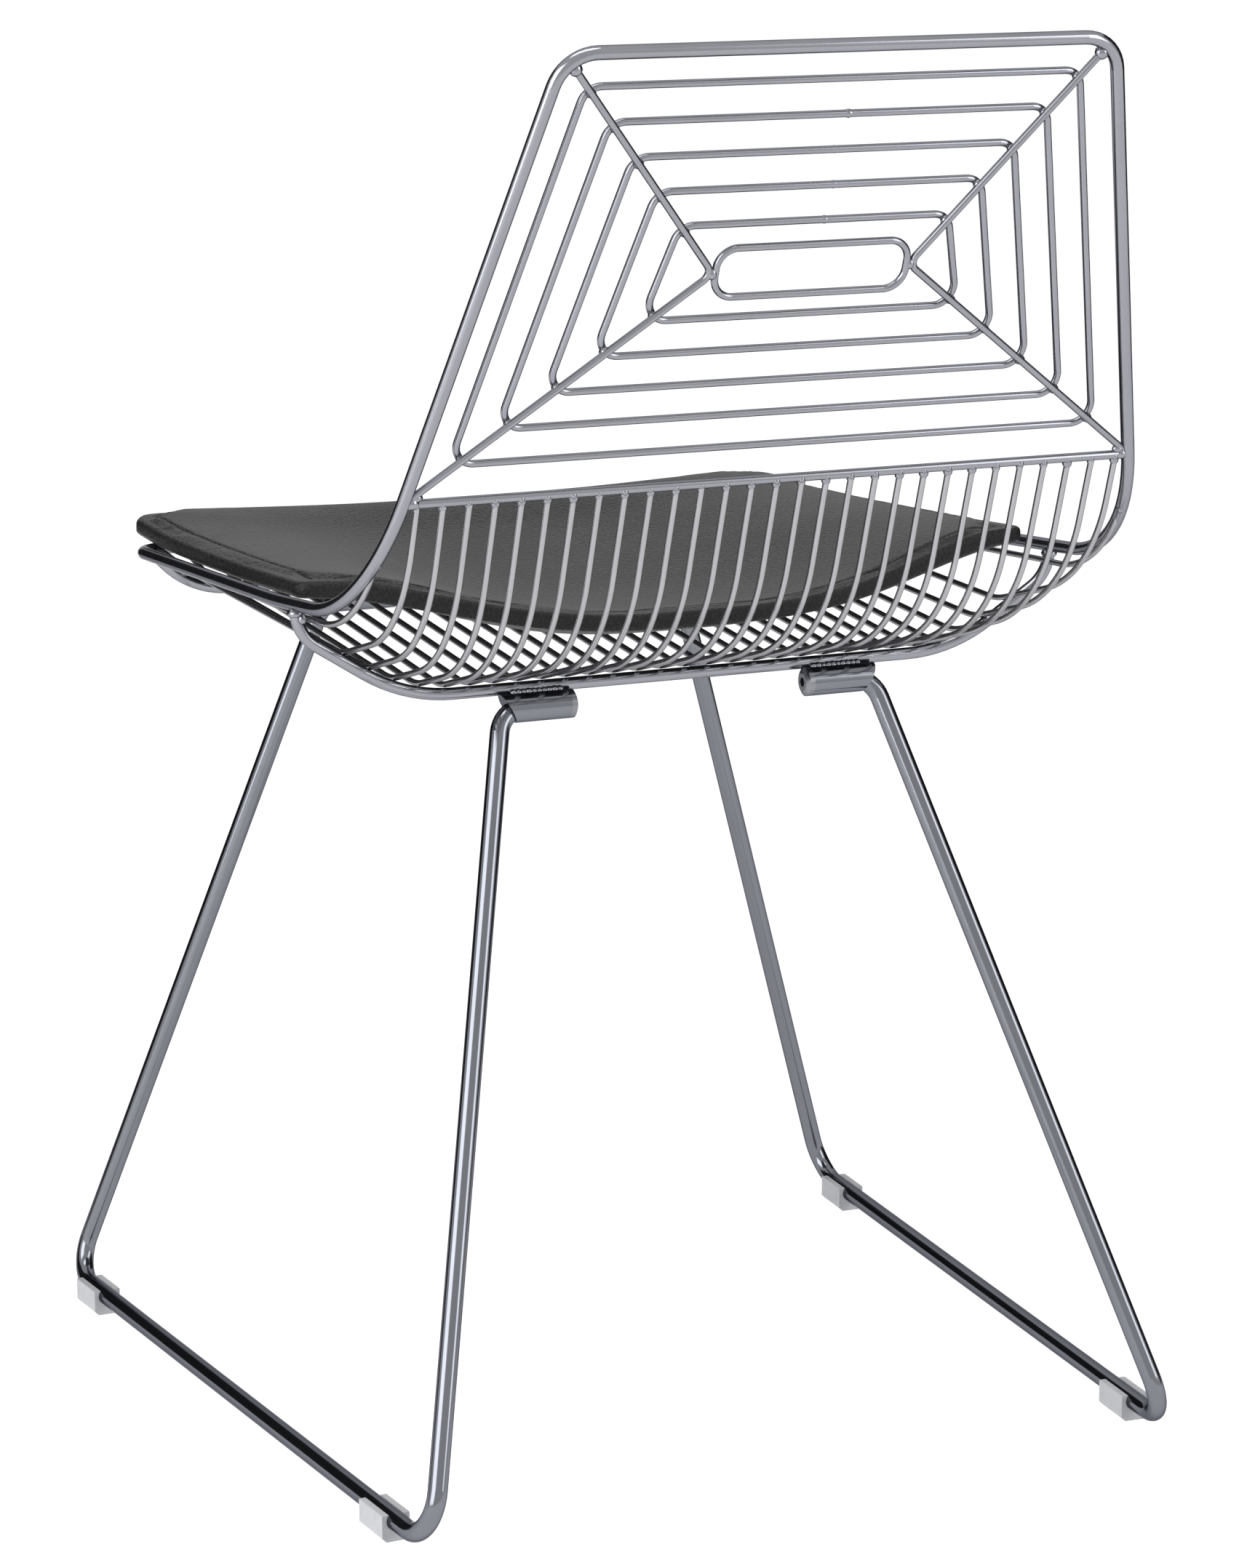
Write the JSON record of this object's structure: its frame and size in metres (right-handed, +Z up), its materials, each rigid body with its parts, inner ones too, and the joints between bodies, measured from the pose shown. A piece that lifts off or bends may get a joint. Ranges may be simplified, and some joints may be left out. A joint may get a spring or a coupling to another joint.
{
  "type": "dining chair",
  "caption": "Wire mesh dining chair with a reclined web backrest, bent rod sled legs and a thin loose seat pad.",
  "frame": {"origin": "on the floor, at the middle of the chair's footprint box", "axes": "+Z up, +X to the sitter's left, the sitter faces -Y"},
  "size_m": [0.5326, 0.5466, 0.8031],
  "materials": {
    "frame_steel": "satin graphite coat",
    "wire_steel": "satin grey coat",
    "leg_steel": "satin graphite coat",
    "cap_steel": "dark satin",
    "glide_plastic": "milky, slightly translucent",
    "pad_fabric": "fine pebble grain, matt",
    "pad_foam": "dark piped border",
    "pad_backing": "plain dark cloth"
  },
  "bodies": {
    "chair_frame": {"main_frame": "frame_steel", "belt_bar": "frame_steel", "rear_seat_rail": "frame_steel", "front_seat_rail": "frame_steel", "web_loop_1": "frame_steel", "web_loop_2": "frame_steel", "web_loop_3": "frame_steel", "web_loop_4": "frame_steel", "web_loop_5": "frame_steel", "web_eye_loop": "frame_steel", "back_brace_left": "frame_steel", "back_brace_right": "frame_steel", "seat_wire_01": "wire_steel", "seat_wire_02": "wire_steel", "seat_wire_03": "wire_steel", "seat_wire_04": "wire_steel", "seat_wire_05": "wire_steel", "seat_wire_06": "wire_steel", "seat_wire_07": "wire_steel", "seat_wire_08": "wire_steel", "seat_wire_09": "wire_steel", "seat_wire_10": "wire_steel", "seat_wire_11": "wire_steel", "seat_wire_12": "wire_steel", "seat_wire_13": "wire_steel", "seat_wire_14": "wire_steel", "seat_wire_15": "wire_steel", "seat_wire_16": "wire_steel", "seat_wire_17": "wire_steel", "seat_wire_18": "wire_steel", "seat_wire_19": "wire_steel", "seat_wire_20": "wire_steel", "seat_wire_21": "wire_steel", "seat_wire_22": "wire_steel", "seat_wire_23": "wire_steel", "seat_wire_24": "wire_steel", "seat_wire_25": "wire_steel", "seat_wire_26": "wire_steel", "seat_wire_27": "wire_steel", "seat_wire_28": "wire_steel", "seat_wire_29": "wire_steel", "rim_wire_left": "wire_steel", "rim_wire_right": "wire_steel", "leg_socket_rear_left": "leg_steel", "leg_socket_rear_right": "leg_steel", "leg_socket_front_left": "leg_steel", "leg_socket_front_right": "leg_steel", "leg_frame_left": "leg_steel", "leg_frame_right": "leg_steel", "socket_cap_screws": "cap_steel", "glide_front_left": "glide_plastic", "glide_front_right": "glide_plastic", "glide_rear_left": "glide_plastic", "glide_rear_right": "glide_plastic"},
    "seat_pad": {"pad_bottom_cover": "pad_backing", "pad_foam": "pad_foam", "pad_top_cover": "pad_fabric"}
  },
  "joints": [
    {"name": "pad_lift", "type": "slide", "parent": "chair_frame", "child": "seat_pad", "axis": [0, 0, 1], "range_m": [0, 0.12]}
  ]
}
